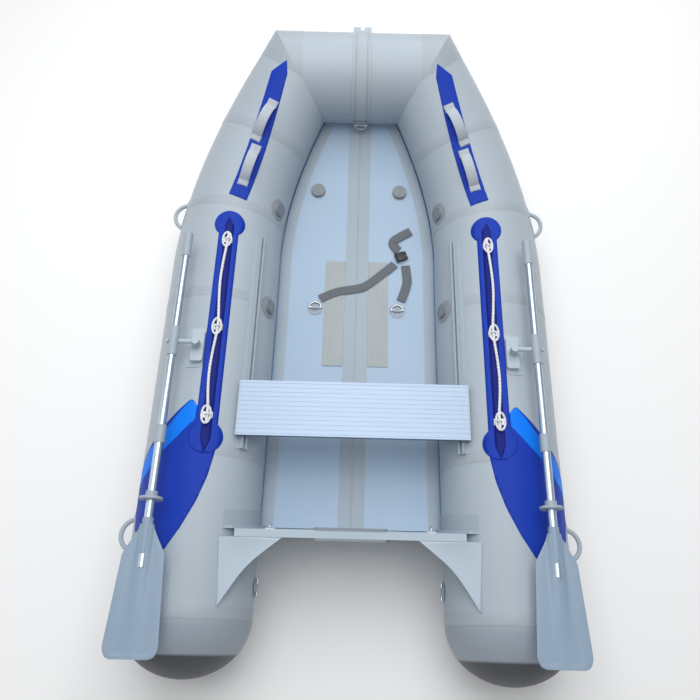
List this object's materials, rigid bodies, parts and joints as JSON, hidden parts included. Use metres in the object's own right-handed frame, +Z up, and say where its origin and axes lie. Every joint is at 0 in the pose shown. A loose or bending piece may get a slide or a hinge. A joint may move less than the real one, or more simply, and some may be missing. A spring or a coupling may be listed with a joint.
{
  "type": "inflatable dinghy",
  "caption": "Inflatable dinghy with an air deck, a leaning plywood transom for an outboard, a seat that slides on rails, stowed oars on swinging rowlocks, lifelines and grab handles",
  "frame": {"origin": "on the ground, below the middle of the boat's box", "axes": "+Y to the bow, +X to starboard, +Z up"},
  "size_m": [1.5954, 2.559, 0.639],
  "materials": {
    "tube_fabric": "satin PVC-coated fabric, light grey",
    "cone_rubber": "moulded grey rubber",
    "bottom_fabric": "thick coated fabric, grey",
    "deck_fabric": "light blue-grey coated drop-stitch fabric",
    "deck_strip": "grey fabric tape",
    "deck_pads": "ribbed non-slip rubber, warm grey",
    "transom_ply": "marine plywood under light grey paint",
    "grey_plastic": "moulded grey plastic",
    "oar_plastic": "moulded blue-grey plastic",
    "aluminium": "clear anodised",
    "steel": "stainless wire",
    "white_rope": "braided white rope",
    "white_plastic": "white plastic",
    "webbing": "woven grey webbing",
    "black_plastic": "black plastic",
    "blue_fabric": "royal blue coated fabric",
    "valve_plastic": "moulded grey plastic with a rubber seal"
  },
  "bodies": {
    "hull": {"tube_starboard": "tube_fabric", "tube_port": "tube_fabric", "tube_bow": "tube_fabric", "stern_cone_starboard": "cone_rubber", "stern_cone_port": "cone_rubber", "chamber_baffles": "tube_fabric", "air_deck": "deck_fabric", "deck_strip": "deck_strip", "deck_pads": "deck_pads", "bottom_skin": "bottom_fabric", "keel_tube": "tube_fabric", "keel_strake": "cone_rubber", "transom_board": "transom_ply", "motor_plate_outer": "grey_plastic", "motor_plate_inner": "grey_plastic", "motor_plate_bolts": "steel", "transom_holders": "cone_rubber", "transom_gussets": "tube_fabric", "transom_eyes": "steel", "drain_valve": "grey_plastic", "seat_rail_starboard": "grey_plastic", "seat_rail_port": "grey_plastic", "rowlock_bases": "grey_plastic", "valve_bodies": "valve_plastic", "valve_poppets": "valve_plastic", "tube_strips": "blue_fabric", "lifeline_eyes": "white_plastic", "lifeline_starboard": "white_rope", "lifeline_port": "white_rope", "grab_loops": "webbing", "side_handles": "grey_plastic", "side_panels": "blue_fabric", "bow_strake": "deck_strip", "bow_fairlead": "grey_plastic", "ring_mounts": "grey_plastic", "strap_webbing": "webbing", "strap_buckle": "black_plastic"},
    "seat": {"seat_plank": "aluminium", "seat_end_caps": "grey_plastic", "seat_runners": "grey_plastic"},
    "rowlock_starboard": {"rowlock_starboard": "grey_plastic"},
    "oar_starboard": {"oar_shaft_starboard": "aluminium", "oar_blade_starboard": "oar_plastic", "oar_fittings_starboard": "oar_plastic"},
    "rowlock_port": {"rowlock_port": "grey_plastic"},
    "oar_port": {"oar_shaft_port": "aluminium", "oar_blade_port": "oar_plastic", "oar_fittings_port": "oar_plastic"},
    "valve_cap_side_starboard": {"valve_cap_side_starboard": "valve_plastic"},
    "valve_cap_side_port": {"valve_cap_side_port": "valve_plastic"},
    "valve_cap_bow_starboard": {"valve_cap_bow_starboard": "valve_plastic"},
    "valve_cap_bow_port": {"valve_cap_bow_port": "valve_plastic"},
    "valve_cap_floor_port": {"valve_cap_floor_port": "valve_plastic"},
    "valve_cap_floor_starboard": {"valve_cap_floor_starboard": "valve_plastic"},
    "drain_flap": {"drain_flap": "grey_plastic"},
    "stern_ring_starboard": {"stern_ring_starboard": "steel"},
    "stern_ring_port": {"stern_ring_port": "steel"},
    "strap_ring_port": {"strap_ring_port": "steel"},
    "strap_ring_starboard": {"strap_ring_starboard": "steel"},
    "bow_ring": {"bow_ring": "steel"}
  },
  "joints": [
    {"name": "seat_slide", "type": "slide", "parent": "hull", "child": "seat", "axis": [0, 1, 0], "range_m": [-0.036, 0.62]},
    {"name": "rowlock_starboard_swing", "type": "hinge", "parent": "hull", "child": "rowlock_starboard", "pos_m": [0.56, -0.192, 0.454], "axis": [0, 0, 1], "range_deg": [0, 150]},
    {"name": "oar_starboard_tilt", "type": "hinge", "parent": "rowlock_starboard", "child": "oar_starboard", "pos_m": [0.637, -0.192, 0.476], "axis": [-1, 0, 0], "range_deg": [-1.5, 5]},
    {"name": "rowlock_port_swing", "type": "hinge", "parent": "hull", "child": "rowlock_port", "pos_m": [-0.56, -0.192, 0.454], "axis": [0, 0, -1], "range_deg": [0, 150]},
    {"name": "oar_port_tilt", "type": "hinge", "parent": "rowlock_port", "child": "oar_port", "pos_m": [-0.637, -0.192, 0.476], "axis": [-1, 0, 0], "range_deg": [-1.5, 5]},
    {"name": "valve_cap_side_starboard_turn", "type": "hinge", "parent": "hull", "child": "valve_cap_side_starboard", "pos_m": [0.34109, 0.038, 0.30283], "axis": [-0.91, 0, 0.4147], "range_deg": [0, 90]},
    {"name": "valve_cap_side_port_turn", "type": "hinge", "parent": "hull", "child": "valve_cap_side_port", "pos_m": [-0.34109, 0.038, 0.30283], "axis": [0.91, 0, 0.4147], "range_deg": [0, 90]},
    {"name": "valve_cap_bow_starboard_turn", "type": "hinge", "parent": "hull", "child": "valve_cap_bow_starboard", "pos_m": [0.33035, 0.47947, 0.32], "axis": [-0.8783, -0.2477, 0.4089], "range_deg": [0, 90]},
    {"name": "valve_cap_bow_port_turn", "type": "hinge", "parent": "hull", "child": "valve_cap_bow_port", "pos_m": [-0.33035, 0.47947, 0.32], "axis": [0.8783, -0.2477, 0.4089], "range_deg": [0, 90]},
    {"name": "valve_cap_floor_port_turn", "type": "hinge", "parent": "hull", "child": "valve_cap_floor_port", "pos_m": [-0.178, 0.66782, 0.20385], "axis": [0, -0.2629, 0.9648], "range_deg": [0, 90]},
    {"name": "valve_cap_floor_starboard_turn", "type": "hinge", "parent": "hull", "child": "valve_cap_floor_starboard", "pos_m": [0.178, 0.66782, 0.20385], "axis": [0, -0.2629, 0.9648], "range_deg": [0, 90]},
    {"name": "drain_flap_hinge", "type": "hinge", "parent": "hull", "child": "drain_flap", "pos_m": [0.12, -0.8199, 0.20718], "axis": [-1, 0, 0], "range_deg": [0, 110]},
    {"name": "stern_ring_starboard_hinge", "type": "hinge", "parent": "hull", "child": "stern_ring_starboard", "pos_m": [0.31494, -0.985, 0.20628], "axis": [0, 1, 0], "range_deg": [0, 150]},
    {"name": "stern_ring_port_hinge", "type": "hinge", "parent": "hull", "child": "stern_ring_port", "pos_m": [-0.31494, -0.985, 0.20628], "axis": [0, -1, 0], "range_deg": [0, 150]},
    {"name": "strap_ring_port_hinge", "type": "hinge", "parent": "hull", "child": "strap_ring_port", "pos_m": [-0.169, 0.118, 0.1572], "axis": [1, 0, 0], "range_deg": [0, 150]},
    {"name": "strap_ring_starboard_hinge", "type": "hinge", "parent": "hull", "child": "strap_ring_starboard", "pos_m": [0.17, 0.112, 0.1572], "axis": [1, 0, 0], "range_deg": [0, 150]},
    {"name": "bow_ring_hinge", "type": "hinge", "parent": "hull", "child": "bow_ring", "pos_m": [0, 0.90053, 0.36083], "axis": [-1, 0, 0], "range_deg": [-20, 100]}
  ]
}
